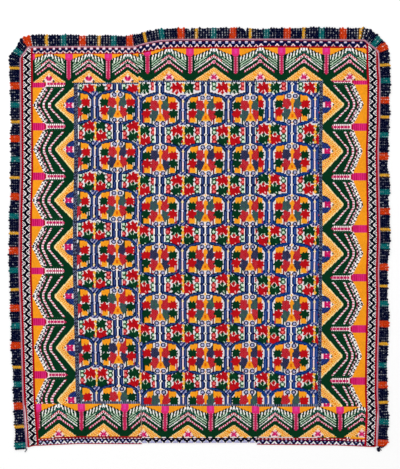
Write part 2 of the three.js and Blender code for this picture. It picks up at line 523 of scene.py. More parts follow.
def field(cloth, name, field_top, field_left):
    """The middle of a loom width: columns of blocks and of medallions, with the posts between them."""
    plan = FIELD[name]
    rows, block_rows = plan["medallion rows"], plan["block rows"]
    for x, letters in plan["blocks"].items():
        for number, (y, letter) in enumerate(zip(block_rows, letters)):
            leaves, rings = BLOCKS[letter]
            if number == 0:
                y, leaves = field_top - 38, leaves[:2]
            block(cloth, x, y, leaves, rings, field_left)
    for x, codes in plan["medallions"].items():
        gaps = [middle - x for middle in plan["blocks"]]
        reach = [min((gap * side for gap in gaps if gap * side > 0), default=EDGE_REACH) for side in (-1, 1)]
        heads = [block_rows[0] + 45] + [row - 47 for row in rows[:-1]]
        for row, head in zip(rows, heads):
            post_pair(cloth, x, row + 48, head, BLUES[name])
        for number, (y, leaves) in enumerate(zip(rows, codes)):
            medallion(cloth, x, y, leaves, ROW_LEAF[number % 2], BLUES[name], reach, 2 if number == 0 else 0)
    for x in plan["blocks"]:
        for y in rows:
            thin_post(cloth, x, y)


# ---------------------------------------------------------------- borders
# A flower as it is charted for the loom, one mark for each stitch.
FLOWERS = {
    "lobed": (
        ".##...##.",
        "####.####",
        "#########",
        "#########",
        ".#######.",
        "..#####..",
    ),
    "pointed": (
        ".#..#..#.",
        "###.#.###",
        ".#######.",
        "..#####..",
        "#########",
        ".#######.",
        "###.#.###",
    ),
}
# How high above a crown's base the middle of its flower lies, and the size of a charted stitch.
FLOWER_MIDDLE = 12.5
FLOWER_STITCH = (2.4, 2.8)
# How tall a crown is before it is fitted, how far its lines sink toward the valleys, and how high the
# caps of the stems begin.
CROWN_HEIGHT = 108
CROWN_SLOPE = 53
CAP_LOW = 83


def crown_border(cloth, region, base, top, peaks, trunks, stem_foot, flower):
    """A row of feathered crowns with an upright stem in each valley, fitted between base and top. out is
    a stitch's height above base, and climb is how high its line of the crown rises at the peak."""
    size = (top - base) / CROWN_HEIGHT
    out = (cloth.up - base) / size
    share = wave(cloth.x, peaks, trunks)
    from_peak = nearest(cloth.x, peaks)
    far = abs(from_peak)
    climb = out + CROWN_SLOPE * share
    step = counted(far, STITCH[0])
    row = counted(out * size, STITCH[1])
    put = cloth.brush(region)
    put(out > 0, "orange")
    bend = 96 - 0.46 * far
    edge = 109.5 - 0.42 * far
    put((climb > 45) & (out < edge), "dark green")
    # feathers: light lines that run up beside the crown and turn upright into broad white tips
    pitch = 3 * STITCH[1] / size
    put((climb > 84) & (out < bend) & every(climb, pitch, pitch * 0.36, 78), "pale green")
    lean = far - 0.22 * (edge - out)
    tips = every(lean, 10.7, 4.8, -2.4)
    put(between(out, bend - 3, edge) & ~tips, "dark green")
    put(between(out, bend - 3, edge - 1) & tips, "pale green")
    put(between(out, bend, edge - 1) & every(lean, 10.7, 3.8, -1.9), "white")
    put(between(out, edge - 6, edge + 2.5) & ~tips, "black")
    # the crown itself: two dotted lines between broad dark bands
    near = far < 26
    put(near & between(climb, 82, 98), "dark green")
    put(near & between(climb, 92, 95.5) & (step % 3 < 2), "teal")
    upper = near & between(climb, 81.5, 88)
    put(upper & (step % 3 > 0), "rose")
    put(upper & (step % 3 == 0), "pink white")
    put(upper & ((row + step) % 4 == 1), "pink")
    put(between(climb, 77.8, 81.2) & ((far > 12) | (step % 2 == 0)), "white")
    lower = between(climb, 60.5, 66.5) & (far > 7) & (share < 0.66)
    put(lower, "pink white")
    put(lower & (step % 3 > 0), "magenta")
    put(lower & (step % 3 == 1) & (climb > 63.5), "pink")
    ring = np.hypot(far, (out - 62.5) * 1.1)
    put(ring < 6.4, "pink")
    put(ring < 2.8, "magenta")
    put(between(out, 98, 107) & ((far < 2.6) | between(far, 6.5, 10.5)), "white")
    crown_heart(cloth, region & (out > 0) & (climb < 45), from_peak, out * size, 45 - climb, flower)
    stem_in_valley(cloth, region, abs(nearest(cloth.x, trunks)), out, stem_foot)


def charted(chart, across, up):
    """The stitches that carry a mark when a chart is worked round the middle of across and up."""
    column = np.floor(across / FLOWER_STITCH[0] + len(chart[0]) / 2).astype(int)
    line = np.floor(len(chart) / 2 - up / FLOWER_STITCH[1]).astype(int)
    inside = (column >= 0) & (column < len(chart[0])) & (line >= 0) & (line < len(chart))
    marks = np.array([[mark == "#" for mark in text] for text in chart])
    inside[inside] = marks[line[inside], column[inside]]
    return inside


def crown_heart(cloth, heart, from_peak, rise, inset, flower):
    """The triangle under a crown: orange and yellow lines of dots with a magenta flower near the base."""
    far = abs(from_peak)
    step = counted(from_peak, STITCH[0])
    row = counted(rise, STITCH[1])
    put = cloth.brush(heart)
    put(True, "yellow")
    put((row + step) % 3 == 0, "orange")
    put(between(inset, 3, 7.5), "orange")
    put(between(inset, 14, 18.5), "orange")
    put((row + 3 * step) % 5 == 1, "pale yellow")
    put(((2 * row + step) % 7 == 0) & (inset > 8), "deep orange")
    put((inset < 2.6) & (step % 3 > 0), "pale yellow")
    around = far / 17 + abs(rise - 9) / 17
    put((around < 1.2) & (step % 2 == 0), "pale yellow")
    put((far < 3.6) & (rise < 32) & (row % 2 == 0), "pale yellow")
    put(around < 1.02, "pink white")
    bloom = charted(FLOWERS[flower], from_peak, rise - FLOWER_MIDDLE)
    put(bloom, "magenta")
    put(bloom & (far < 2.4) & (abs(rise - FLOWER_MIDDLE) < 7), "bright magenta")
    put(np.hypot(far - 17, rise - 3.6) < 3.7, "speckle navy")


def stem_in_valley(cloth, region, beside, out, foot):
    """An upright stem with dotted edges, under a broad cap that meets the outer band."""
    row = counted(out, STITCH[1])
    put = cloth.brush(region & between(out, foot, CAP_LOW + 4))
    put(beside < 14, "dark green")
    put(between(beside, 9.5, 14) & (row % 2 == 0), "black")
    wide = np.minimum(7.2, (out - foot) * 0.8 + 1.5)
    put(beside < wide, "pink")
    put((beside < wide) & (beside > 3.8) & (row % 2 == 0), "magenta" if foot < 16 else "maroon")
    heart = beside < np.minimum(4.2, wide)
    put(heart, "magenta")
    put(heart & (row % 2 == 0) & (beside < 2), "rose")
    put = cloth.brush(region & (beside < np.minimum(12.8, 8 + 0.9 * (out - CAP_LOW))) & (out > CAP_LOW))
    put(True, "bright magenta")
    put((beside < 5) & (out > CAP_LOW + 8), "orchid")


# Each line of an arrowhead: how far out it lies at a peak and at a trunk in mm, how much of the
# way it stays level at the peak, and the yarn inside it.
SIDE_LAYERS = (
    (69.5, -13, 0.04, "heart"),
    (73.0, -9.5, 0.04, "pale yellow"),
    (86.5, 19.5, 0.10, "dark green"),
    (94, 27, 0.10, "dots"),
    (104, 63, 0.12, "dark green"),
    (111.5, 70.5, 0.12, "dots"),
    (119, 79, 0.10, "dark green"),
    (141.5, 99, 0.0, "comb"),
)
# The side's column of arrowheads: whether it stands on the left (-1) or the right (1), where the line
# between it and the field lies, how far all lines are drawn in and how much more the innermost ones
# are, where the caps of the stems begin, the heights of the arrowheads' peaks and of the stems, and how
# long one wave of the zigzag along the edge is.
SIDE_PLANS = {
    "panel_left": {
        "side": -1,
        "line": -424,
        "drawn in": (0, 16),
        "cap low": 93,
        "peaks": (625, 458, 308, 135, -23, -191, -366, -544),
        "trunks": (530, 386, 216, 58, -105, -278, -458, -620),
        "zigzag": 26.4,
    },
    "panel_right": {
        "side": 1,
        "line": 414,
        "drawn in": (2.6, -1),
        "cap low": 94,
        "peaks": (630, 460, 302, 120, -47, -219, -395, -564),
        "trunks": (542, 385, 214, 39, -128, -302, -478, -640),
        "zigzag": 25.4,
    },
}
# The speckled line between the field and the arrowheads.
LINE_WIDTH = 12.5


def side_border(cloth, region, out, plan):
    """A column of arrowheads that point outward, with a stem lying in each valley."""
    share = wave(cloth.up, plan["peaks"], plan["trunks"])
    far = abs(nearest(cloth.up, plan["peaks"]))
    to_trunk = abs(nearest(cloth.up, plan["trunks"]))
    row = counted(far, STITCH[1])
    put = cloth.brush(region)
    put(True, "orange")
    all_in, inner_in = plan["drawn in"]
    reach = SIDE_LAYERS[-1][0]
    edges = []
    for at_peak, at_trunk, level, _ in SIDE_LAYERS:
        at_peak -= all_in + inner_in * (reach - at_peak) / reach
        edges.append(at_peak + (at_trunk - at_peak) * np.maximum(share - level, 0) / (1 - level))
    for inner, edge, (*_, yarn) in zip(edges, edges[1:], SIDE_LAYERS[1:]):
        layer = (out > inner) & (out <= edge)
        if yarn == "dots":
            put(layer, "dark green")
            dots = layer & (to_trunk > 16) & (out < edge - 0.8)
            put(dots, "white")
            put(dots & (row % 3 == 1) & (out < edge - 3), "pink")
            put(dots & (row % 3 == 0), "maroon")
            put(dots & (row % 6 == 0), "magenta")
        elif yarn == "comb":
            comb(cloth, region & layer, edge - out, far)
        else:
            put(layer, yarn)
    side_heart(cloth, region & between(out, 0, edges[0]), far, out, edges[0] - out)
    stem_lying(cloth, region, to_trunk, out, plan["cap low"])


def comb(cloth, zone, inset, far):
    """The outer edge of an arrowhead: dark teeth with light gaps, then lines of specks on dark."""
    put = cloth.brush(zone)
    put(True, "dark green")
    put(inset <= 13.5, "white")
    specks = between(inset, 12, 22)
    put(specks, "speckle navy")
    put(specks & (inset > 17) & every(far, 10.4, 4.6, 1.5), "maroon")
    put(specks & between(inset, 13.5, 17.5) & every(far, 10.4, 5.2, 6.4), "pink white")
    put(specks & (inset > 17) & every(far, 20.8, 4.2, 6.0), "pink")
    put((inset <= 14) & (inset > 8.6) & every(far, 10.4, 6.0, 5.2), "dark green")
    put((inset <= 6.2) & (inset > 0.8) & every(far, 10.4, 5.6), "black")


def side_heart(cloth, heart, far, out, inset):
    """The triangle inside an arrowhead: a broad speckled yellow band, two blue corners and a flower."""
    row = counted(far, STITCH[1])
    step = counted(out, STITCH[0])
    cloth.put(heart, "white")
    put = cloth.brush(heart & (out > 39 - 1.12 * far))
    put(True, "yellow")
    put((row + step) % 3 == 0, "orange")
    put(between(inset, 4, 9), "orange")
    put(between(inset, 15, 23), "orange")
    put((row + 2 * step) % 5 == 1, "pale yellow")
    put(between(inset, 15, 19) & (row % 3 == 0), "deep orange")
    put(between(inset, 25, 28) & (row % 3 == 0), "coral")
    put((inset < 3) & (row % 3 > 0), "pale yellow")
    put = cloth.brush(heart)
    reach = np.hypot(far, out)
    corner = (far > 9) & (reach < 30.5)
    put(corner, "night blue")
    put(corner & ((row + step) % 4 > 0) & (reach < 28), "corner blue")
    put(np.hypot(far, out - 34.5) < 2.9, "night blue")
    put((far < 9.2) & (out < 31), "pink white")
    petals = (far < 9.6) & between(out, 5.5, 28.5)
    gaps = ((far > 7) & (abs(out - 17) < 2.4)) | ((far < 1.5) & (abs(out - 17) > 9.4))
    put(petals & ~gaps, "magenta")
    put((far < 3) & between(out, 12.5, 21.5), "bright magenta")


def stem_lying(cloth, region, beside, out, cap_low):
    """A stem that lies in the valley between two arrowheads, with a rounded cap at its outer end."""
    tip = 28
    step = counted(out, STITCH[0])
    put = cloth.brush(region & between(out, tip, cap_low + 8))
    put((beside < 16) & (out > tip + 3), "dark green")
    put(between(beside, 12, 15) & (out > tip + 10) & (step % 4 == 0), "grey green")
    wide = np.minimum(8.2, out - tip)
    put(beside < wide, "maroon")
    put(between(beside, 4.2, wide) & (step % 3 > 0), "white")
    heart = beside < np.minimum(4.2, wide)
    put(heart, "magenta")
    put(heart & (step % 5 == 0), "pink")
    collar = region & between(out, cap_low - 1, cap_low + 12)
    cloth.put(collar & (beside < 9 + 0.4 * (out - cap_low)), "pink white")
    nose = ((out - cap_low - 14) / 12) ** 2 + (beside / 12.8) ** 2 < 1
    put = cloth.brush(region & (beside < 12.8) & ((out > cap_low + 14) | nose))
    put(True, "magenta")
    put(every(out, 6.8, 3.2, 2.0), "bright magenta")
    put(out < cap_low + 8, "edge red")


# The stripes along a side's edge, from the edge inward, and how near the zigzag comes to the red ones.
OUTER_RED = 7
ZIGZAG_WIDTH = 26
INNER_RED = 6.5
ZIGZAG_MARGIN = 5.4


def side_stripes(cloth, period):
    """Along a side's edge: a red line, a black zigzag with grey and white points, and another red line."""
    inner = OUTER_RED + ZIGZAG_WIDTH
    cloth.put(cloth.to_side < inner + INNER_RED, "edge red")
    put = cloth.brush((cloth.to_side >= OUTER_RED) & (cloth.to_side < inner))
    swing = abs(np.mod(cloth.up / period, 1) * 2 - 1)
    height = ZIGZAG_WIDTH - 2 * ZIGZAG_MARGIN
    slope = 2 * height / period
    away = abs(cloth.to_side - OUTER_RED - (ZIGZAG_MARGIN + height * swing)) / np.hypot(1, slope)
    put(True, "white")
    put(away > 6.8, "ink")
    put(away > 9.6, "pink white")
    put(away > 11.6, "slate")
    put(away < 4.4, "black")
    cloth.put((cloth.to_side < inner) & (cloth.to_foot < 3), "edge red")


def from_point(along, pitch, start):
    """How far each stitch is from the nearest point of a band's zigzag."""
    return abs(np.mod(along - start + pitch / 2, pitch) - pitch / 2)


def top_band(cloth, pitch, start, height):
    """From the outer edge: light dots on red, a dark zigzag with white points under it, red."""
    out = cloth.to_top * 28 / height
    beside = from_point(cloth.x, pitch, start)
    put = cloth.brush(cloth.to_top < height)
    put(True, "ink")
    put((out < 3) & (beside < pitch / 4), "maroon")
    marks = (beside > pitch / 2 - 4.4) & between(out, 1.6, 10.5)
    put(marks, "pink white")
    put(marks & (out > 7), "lavender")
    peak = 13 + 9.5 * beside / 7.4
    put(between(out, peak - 1.0, peak + 3.8) & (beside < 8.4) & (out < 24), "pink white")
    put(between(out, peak + 3.8, 24), "maroon")
    put(out > 23.5, "edge red")


def foot_band(cloth, pitch, start):
    """The top band turned over: its light points are filled in, and a red line ends the cloth."""
    foot = cloth.to_foot
    beside = from_point(cloth.x, pitch, start)
    put = cloth.brush(foot < 25.5)
    put(True, "edge red")
    put(between(foot, 17, 23), "maroon")
    put(between(foot, 18, 22) & every(cloth.x, pitch / 2, 5.6), "pink white")
    put(between(foot, 3.2, 17.5), "ink")
    put(between(foot, 11.5, 15) & (beside > pitch / 2 - 2.4), "lavender")
    peak = 13.5 - beside * 1.05
    put(between(foot, 3.2, peak), "white")
    put(between(foot, 3.2, peak - 3.8), "lavender")
    put(between(foot, 3.2, peak - 7), "maroon")


def foot_zigzag(cloth, pitch, start):
    """A dark zigzag along the plain edge, with pale triangles below it."""
    foot = cloth.to_foot
    beside = from_point(cloth.x, pitch, start)
    line = 3.4 + 12 * beside / (pitch / 2)
    put = cloth.brush(foot < 20)
    put(foot < line, "lavender")
    put((foot < line) & (foot > line - 5), "white")
    put(between(foot, line, 18), "ink")
    put(between(foot, 16.5, 20) & (beside < pitch / 4), "white")
    put(between(foot, 11, 15) & (beside < 2.6), "pink white")
    put(abs(foot - line) < 3.9, "black")


# Where the crowns' peaks lie along the top and the bottom, and where the stems between them stand.
TOP_TRUNKS = (-573, -444, -310, -177, -32, 123, 279, 431, 580)
TOP_PEAKS = (-640, -512, -376, -244, -104, 49, 206, 355, 510, 640)
BOTTOM_TRUNKS = (-549, -401, -254, -117, 38, 190, 328, 478, 620)
BOTTOM_PEAKS = (-620, -478, -326, -190, -39, 117, 257, 402, 552)
# The heights that the parts of a loom width lie between, the top crowns' flower and how high their
# stems begin, and the bands along both ends: the pitch of each, where a point of it lies, and for the
# top one how high it is.
PLANS = {
    "panel_left": {"field top": 536, "field foot": -553, "foot": -670, "top": 633.5,
                   "crowns": ("lobed", 10), "top band": (21.2, -378.4, 21.5), "foot band": (23.3, -552.5)},
    "panel_middle": {"field top": 542, "field foot": -561, "foot": -672, "top": 651,
                     "crowns": ("pointed", 22), "top band": (22.4, 125.5, 28), "foot band": (26.2, -42.7)},
    "panel_right": {"field top": 542, "field foot": -563, "foot": -669.7, "top": 655,
                    "crowns": ("pointed", 20), "top band": (27.2, 400, 25), "foot band": (26.4, 466)},
}


def paint_panel(name, cloth):
    """Weaves the whole pattern of a loom width, from the field outward to the bands along its edges."""
    plan, side_plan = PLANS[name], SIDE_PLANS.get(name)
    field_top, field_foot = plan["field top"], plan["field foot"]
    on_left = name == "panel_left"
    field(cloth, name, field_top, side_plan["line"] + 7.5 if on_left else -math.inf)
    for y, half in ((field_top - 2, 3.2), (field_foot, 4.2)):
        put = cloth.brush(abs(cloth.up - y) < half)
        put(True, "speckle navy")
        put(every(cloth.across, 7.5, 3.4), "speckle grey")
    if side_plan:
        out = side_plan["side"] * (cloth.across - side_plan["line"]) - 5
        put = cloth.brush(between(out, -LINE_WIDTH, 0))
        put(True, "speckle navy")
        put(every(cloth.up + out, 8.0, 3.4) & every(cloth.up - out, 7.0, 4.0), "speckle grey")
        side_border(cloth, out > 0, out, side_plan)
    flower, stem_foot = plan["crowns"]
    above, below = cloth.up > field_top, cloth.up < field_foot - 4
    crown_border(cloth, above, field_top, plan["top"], TOP_PEAKS, TOP_TRUNKS, stem_foot, flower)
    crown_border(cloth, below, plan["foot"], field_foot - 4, BOTTOM_PEAKS, BOTTOM_TRUNKS, 22, "pointed")
    top_band(cloth, *plan["top band"])
    if side_plan:
        foot_band(cloth, *plan["foot band"])
        side_stripes(cloth, side_plan["zigzag"])
    else:
        foot_zigzag(cloth, *plan["foot band"])


# ---------------------------------------------------------------- the three loom widths
CHAMFER_STARTS = 560
CLOTH_TOP = 2.45
CLOTH_FOOT = 0.2
SEAM_REACH = 0.14
FLOAT_HEIGHT = 0.4
STITCH_GRAIN = 0.06
RIM_DROP = 0.5
# Where the sides of a loom width are read off its node, and at how many places.
READ_FROM, READ_TO, READ_PLACES = -680, 600, 300
# Over how many of those places the slant is taken that the sides keep below the lowest of them.
SPLAY_SPAN = 9
# The shares of the second map's breadth that the face and the back take, and its margin.
FACE_ISLAND = (0.02, 0.70)
BACK_ISLAND = (0.76, 0.98)
ISLAND_MARGIN = 0.02

# How far across the rug each loom width runs on the loom, before its edges wander.
LOOM_WIDTHS = {
    "panel_left": (-610.5, -207),
    "panel_middle": (-207, 199),
    "panel_right": (199, 609),
}


def mesh_points(mesh):
    """The places of a mesh's points, a row for each."""
    points = np.empty(len(mesh.vertices) * 3)
    mesh.vertices.foreach_get("co", points)
    return points.reshape(-1, 3)


def place_points(mesh, x, y, z):
    """Moves a mesh's points to places given in mm."""
    mesh.vertices.foreach_set("co", (np.stack([x, y, z], 1) * MM).ravel())


def loop_corners(mesh):
    """The point at each corner of each face."""
    corners = np.empty(len(mesh.loops), int)
    mesh.loops.foreach_get("vertex_index", corners)
    return corners


def colour_faces(mesh, colours):
    """Gives each face a colour that the yarn materials read."""
    mesh.attributes.new("yarn colour", "FLOAT_COLOR", "FACE").data.foreach_set("color", colours.ravel())


def node_spans(node, axis, places):
    """How far a node reaches along one axis, from and to, at places along the other, in mm."""
    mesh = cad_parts[node].data
    points = mesh_points(mesh)[:, :2] / MM
    pairs = np.empty(len(mesh.edges) * 2, int)
    mesh.edges.foreach_get("vertices", pairs)
    a, b = points[pairs[0::2]], points[pairs[1::2]]
    other = 1 - axis
    low, high = np.minimum(a, b)[:, other], np.maximum(a, b)[:, other]
    spans = []
    for place in places:
        crosses = (low <= place) & (high > place)
        start, end = a[crosses], b[crosses]
        share = (place - start[:, other]) / (end[:, other] - start[:, other])
        reach = start[:, axis] + share * (end[:, axis] - start[:, axis])
        spans.append((reach.min(), reach.max()))
    return np.array(spans).T


def cloth_outline(name):
    """Where a loom width's four edges lie, each as places and the reach at each place."""
    low, high = (np.array(corner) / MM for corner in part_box(name))
    heights = np.linspace(READ_FROM, READ_TO, READ_PLACES)
    widths = np.linspace(low[0] + 0.05, high[0] - 0.05, READ_PLACES)
    left, right = node_spans(name, 0, heights)
    left = left - (0 if name == "panel_left" else SEAM_REACH)
    right = right + (0 if name == "panel_right" else SEAM_REACH)
    foot, head = node_spans(name, 1, widths)
    splay = [(side[SPLAY_SPAN] - side[0]) / (heights[SPLAY_SPAN] - heights[0]) for side in (left, right)]
    ends = (foot < -CHAMFER_STARTS) & (head > CHAMFER_STARTS)
    return {"low": low, "high": high, "heights": heights, "left": left, "right": right, "splay": splay,
            "widths": widths[ends], "foot": foot[ends], "head": head[ends]}


def lay(outline, u, v):
    """Where shares of a loom width's breadth and length come to lie, with the four edges there."""
    y = outline["low"][1] + (outline["high"][1] - outline["low"][1]) * v
    left, right = (np.interp(y, outline["heights"], outline[side]) for side in ("left", "right"))
    below = np.maximum(outline["heights"][0] - y, 0)
    left, right = (reach - below * slope for reach, slope in zip((left, right), outline["splay"]))
    x = left + (right - left) * u
    head = np.interp(x, outline["widths"], outline["head"])
    foot = np.interp(x, outline["widths"], outline["foot"])
    start = CHAMFER_STARTS
    up = start + (y - start) * (head - start) / (outline["high"][1] - start)
    down = -start + (y + start) * (foot + start) / (outline["low"][1] + start)
    y = np.where(y > start, up, np.where(y < -start, down, y))
    return x, y, {"left": left, "right": right, "head": head, "foot": foot}


def stitches_of(name, outline, columns, rows):
    """The loom width's cloth with every stitch painted in its yarn."""
    u = (np.arange(columns) + 0.5) / columns
    v = (np.arange(rows) + 0.5) / rows
    u, v = np.meshgrid(u, v)
    x, y, edges = lay(outline, u, v)
    start, end = LOOM_WIDTHS[name]
    to_side = {"panel_left": x - edges["left"], "panel_middle": None, "panel_right": edges["right"] - x}[name]
    cloth = Cloth(x, y, start + (end - start) * u, edges["head"] - y, y - edges["foot"], to_side)
    paint_panel(name, cloth)
    return cloth


def relief_of(cloth, seed):
    """The height of each stitch corner: floats stand above the ground, and the cloth is never quite flat."""
    raised = np.where(cloth.yarn == YARN_NAMES.index("shaded ground"), 0.0, FLOAT_HEIGHT)
    padded = np.pad(raised, 1, mode="edge")
    corners = (padded[:-1, :-1] + padded[1:, :-1] + padded[:-1, 1:] + padded[1:, 1:]) / 4
    rows, columns = corners.shape
    grain = np.random.default_rng(seed).uniform(-STITCH_GRAIN, STITCH_GRAIN, corners.shape)
    v, u = np.meshgrid(np.linspace(0, 1, rows), np.linspace(0, 1, columns), indexing="ij")
    slow = 0.16 * np.sin(TAU * (2.3 * v + 0.7 * u + seed)) + 0.1 * np.sin(TAU * (6.1 * v - 1.4 * u))
    rim = np.minimum(np.minimum(u * columns, (1 - u) * columns), np.minimum(v * rows, (1 - v) * rows))
    return CLOTH_TOP + corners + grain + slow - RIM_DROP * np.exp(-rim / 1.2)


def stitch_grid(name, columns, rows):
    """A flat face of columns by rows stitches with a turned-down edge, closed by one face below."""
    bm = bmesh.new()
    bmesh.ops.create_grid(bm, x_segments=columns, y_segments=rows, size=0.5)
    rim = [edge for edge in bm.edges if edge.is_boundary]
    skirt = bmesh.ops.extrude_edge_only(bm, edges=rim)["geom"]
    for vert in skirt:
        if isinstance(vert, bmesh.types.BMVert):
            vert.co.z = -1
    bmesh.ops.holes_fill(bm, edges=[e for e in skirt if isinstance(e, bmesh.types.BMEdge)], sides=0)
    return into_mesh(bm, bpy.data.meshes.new(name))


def woven_panel(name, seed):
    """One loom width as a closed cloth, each stitch a face in its own yarn."""
    outline = cloth_outline(name)
    start, end = LOOM_WIDTHS[name]
    width, length = (outline["high"][axis] - outline["low"][axis] for axis in (0, 1))
    columns, rows = round((end - start) / STITCH[0]), round(length / STITCH[1])
    cloth = stitches_of(name, outline, columns, rows)
    mesh = stitch_grid(name + "_cloth", columns, rows)
    flat = mesh_points(mesh)
    u, v = flat[:, 0] + 0.5, flat[:, 1] + 0.5
    x, y, _ = lay(outline, u, v)
    top = relief_of(cloth, seed)[np.rint(v * rows).astype(int), np.rint(u * columns).astype(int)]
    place_points(mesh, x, y, np.where(flat[:, 2] < -0.5, CLOTH_FOOT, top))
    paint_faces(mesh, cloth)
    stitch_maps(mesh, u, v, columns, rows)
    mesh.materials.append(MATERIALS["brocade"])
    mesh.materials.append(MATERIALS["reverse"])
    mesh.update()
    piece = add_object(name + "_cloth", mesh)
    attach(piece, "root")
    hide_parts(name)


def paint_faces(mesh, cloth):
    """Gives each stitch its yarn's colour. The turned-down edge is red, and the back has its own material."""
    palette = np.array([linear(code) for code in YARNS.values()])
    colours = np.tile(palette[YARN_NAMES.index("edge red")], (len(mesh.polygons), 1))
    colours[:cloth.yarn.size] = palette[cloth.yarn.ravel()]
    colour_faces(mesh, colours)
    slots = np.zeros(len(mesh.polygons), int)
    slots[-1] = 1
    mesh.polygons.foreach_set("material_index", slots)


def stitch_maps(mesh, u, v, columns, rows):
    """One map counts stitches, and the other lays the face and the back side by side."""
    corners = loop_corners(mesh)
    u, v = u[corners], v[corners]
    counted_map = mesh.uv_layers.new(name="stitches")
    counted_map.data.foreach_set("uv", np.stack([u * columns, v * rows], 1).ravel())
    side_by_side = mesh.uv_layers.new(name="OFBake")
    across = FACE_ISLAND[0] + (FACE_ISLAND[1] - FACE_ISLAND[0]) * u
    last = mesh.polygons[-1]
    back = slice(last.loop_start, last.loop_start + last.loop_total)
    across[back] = BACK_ISLAND[0] + (BACK_ISLAND[1] - BACK_ISLAND[0]) * u[back]
    up = ISLAND_MARGIN + (1 - 2 * ISLAND_MARGIN) * v
    side_by_side.data.foreach_set("uv", np.stack([across, up], 1).ravel())


# ---------------------------------------------------------------- the sewn edge
# The seam line where the cord meets the crochet, from the bottom left corner round to the bottom right.
EDGE_LINE = np.array((
    (-591, -709), (-598, -620), (-604, -530), (-606, -440), (-610, -310), (-617, -105), (-615, 95),
    (-611, 235), (-613, 615), (-585, 654), (-400, 656), (-225, 655), (-190, 666), (-140, 676), (-84, 680),
    (240, 681), (560, 678), (608, 639), (614, 540), (612, 400), (608, 300), (613, 0), (609, -105),
    (611, -205), (606, -410), (605, -520), (609, -600), (603, -706),
), float)
# Which places of the seam line each side runs between, a little past its corners, and where the band
# along it is cut from the next.
SIDE_BENDS = {"left": (0, 10), "top": (8, 18), "right": (16, 27)}
CUT_BENDS = (9, 16)
# How far before and after a place its heading is taken.
TURN = 26
CORD_WIDTH = 4.6
CORD_STEP = 2.4
CORD_SIDES = 10
PLY_PITCH = 11.0


class EdgeLine:
    """The seam line in the frame. Its heading turns gradually, so that stitches fan round a corner."""

    def __init__(self):
        low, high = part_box("edge_cord")
        shift = (low.x / MM - EDGE_LINE[:, 0].min(), high.y / MM - EDGE_LINE[:, 1].max())
        bends = EDGE_LINE + shift
        self.bends = np.concatenate([[0], np.cumsum(np.hypot(*np.diff(bends, axis=0).T))])
        self.length = self.bends[-1]
        self.at = np.linspace(0, self.length, round(self.length / 2))
        self.points = self.spot(self.at, self.bends, bends)
        ahead = self.spot(self.at + TURN, self.bends, bends)
        behind = self.spot(self.at - TURN, self.bends, bends)
        heading = (ahead - behind) / np.hypot(*(ahead - behind).T)[:, None]
        self.outward = np.stack([-heading[:, 1], heading[:, 0]], 1)
        self.ends = heading[0], heading[-1]

    def spot(self, along, at, rows):
        return np.stack([np.interp(along, at, rows[:, axis]) for axis in (0, 1)], 1)

    def lay(self, along, out):
        """Frame x and y of places along the line, a distance out from it."""
        reach = self.spot(along, self.at, self.outward) * np.reshape(out, (-1, 1))
        before, after = np.minimum(along, 0), np.maximum(along - self.length, 0)
        beyond = before[:, None] * self.ends[0] + after[:, None] * self.ends[1]
        return (self.spot(along, self.at, self.points) + reach + beyond).T


def made_mesh(maker):
    """The mesh that a curve or an object with modifiers comes to, with the object itself removed."""
    mesh = bpy.data.meshes.new_from_object(maker.evaluated_get(bpy.context.evaluated_depsgraph_get()))
    bpy.data.objects.remove(maker)
    return mesh


def strands(name, paths):
    """A mesh of round strands. Each path is a list of (x, y, z, radius) in mm."""
    curve = bpy.data.curves.new(name, "CURVE")
    curve.dimensions = "3D"
    curve.bevel_depth = 1.0
    curve.bevel_resolution = 1
    curve.use_fill_caps = True
    for path in paths:
        spline = curve.splines.new("POLY")
        spline.points.add(len(path) - 1)
        for point, (*place, radius) in zip(spline.points, path):
            point.co = (*place, 1)
            point.radius = radius
    return made_mesh(add_object(name, curve))


def repeated(mesh, *arrays):
    """The mesh copied in rows: each array is a count and a step along x and y."""
    maker = add_object("maker", mesh)
    for number, (count, step_x, step_y) in enumerate(arrays):
        array = maker.modifiers.new(f"row {number}", "ARRAY")
        array.count = count
        array.use_relative_offset = False
        array.use_constant_offset = True
        array.constant_offset_displace = (step_x, step_y, 0)
    return made_mesh(maker)


def finish_piece(name, mesh, material, slot, *replaced):
    """Makes a mesh a smooth piece of the rug, in place of the nodes named."""
    mesh.name = name
    mesh.materials.clear()
    mesh.materials.append(material)
    mesh.polygons.foreach_set("use_smooth", np.ones(len(mesh.polygons), bool))
    mesh.update()
    piece = add_object(name, mesh)
    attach(piece, "root")
    if replaced:
        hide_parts(*replaced)


def edge_cord(line):
    """A two-ply cord: a tube whose wall swells over each ply as the plies wind round each other."""
    mesh = flat_grid("edge_cord_yarn", round(line.length / CORD_STEP), CORD_SIDES, 0.5)
    flat = mesh_points(mesh)
    along = (flat[:, 0] + 0.5) * line.length
    angle = (flat[:, 1] + 0.5) * TAU
    ply = np.cos(2 * angle - TAU * along / PLY_PITCH)
    radius = CORD_WIDTH / 2 * (0.88 + 0.12 * ply)
    radius = radius * np.clip(np.minimum(along, line.length - along) / CORD_STEP, 0, 1)
    x, y = line.lay(along, radius * np.cos(angle) - CORD_WIDTH / 2)
    place_points(mesh, x, y, CORD_WIDTH / 2 + radius * np.sin(angle))
    bm = bmesh.new()
    bm.from_mesh(mesh)
    bmesh.ops.remove_doubles(bm, verts=bm.verts, dist=0.00001)
    bmesh.ops.recalc_face_normals(bm, faces=bm.faces)
    finish_piece("edge_cord_yarn", into_mesh(bm, mesh), MATERIALS["cord"], "edge_cord_yarn", "edge_cord")


# ---------------------------------------------------------------- crochet
CROCHET_CELL = (9.0, 8.6)
CROCHET_ROWS = 4
TREBLE_FEET = (2.25, 6.75)
PICOT_HEIGHT = 4.2
SEAM_GAP = 0.3
# How far the band runs on past the two ends of the seam line.
OVERRUN = (5, -3)
# How often a hole opens between two trebles. The top is worked more loosely.
HOLE_SHARES = {"left": 0.3, "top": 0.6, "right": 0.3}
CROCHET_SEED = 11
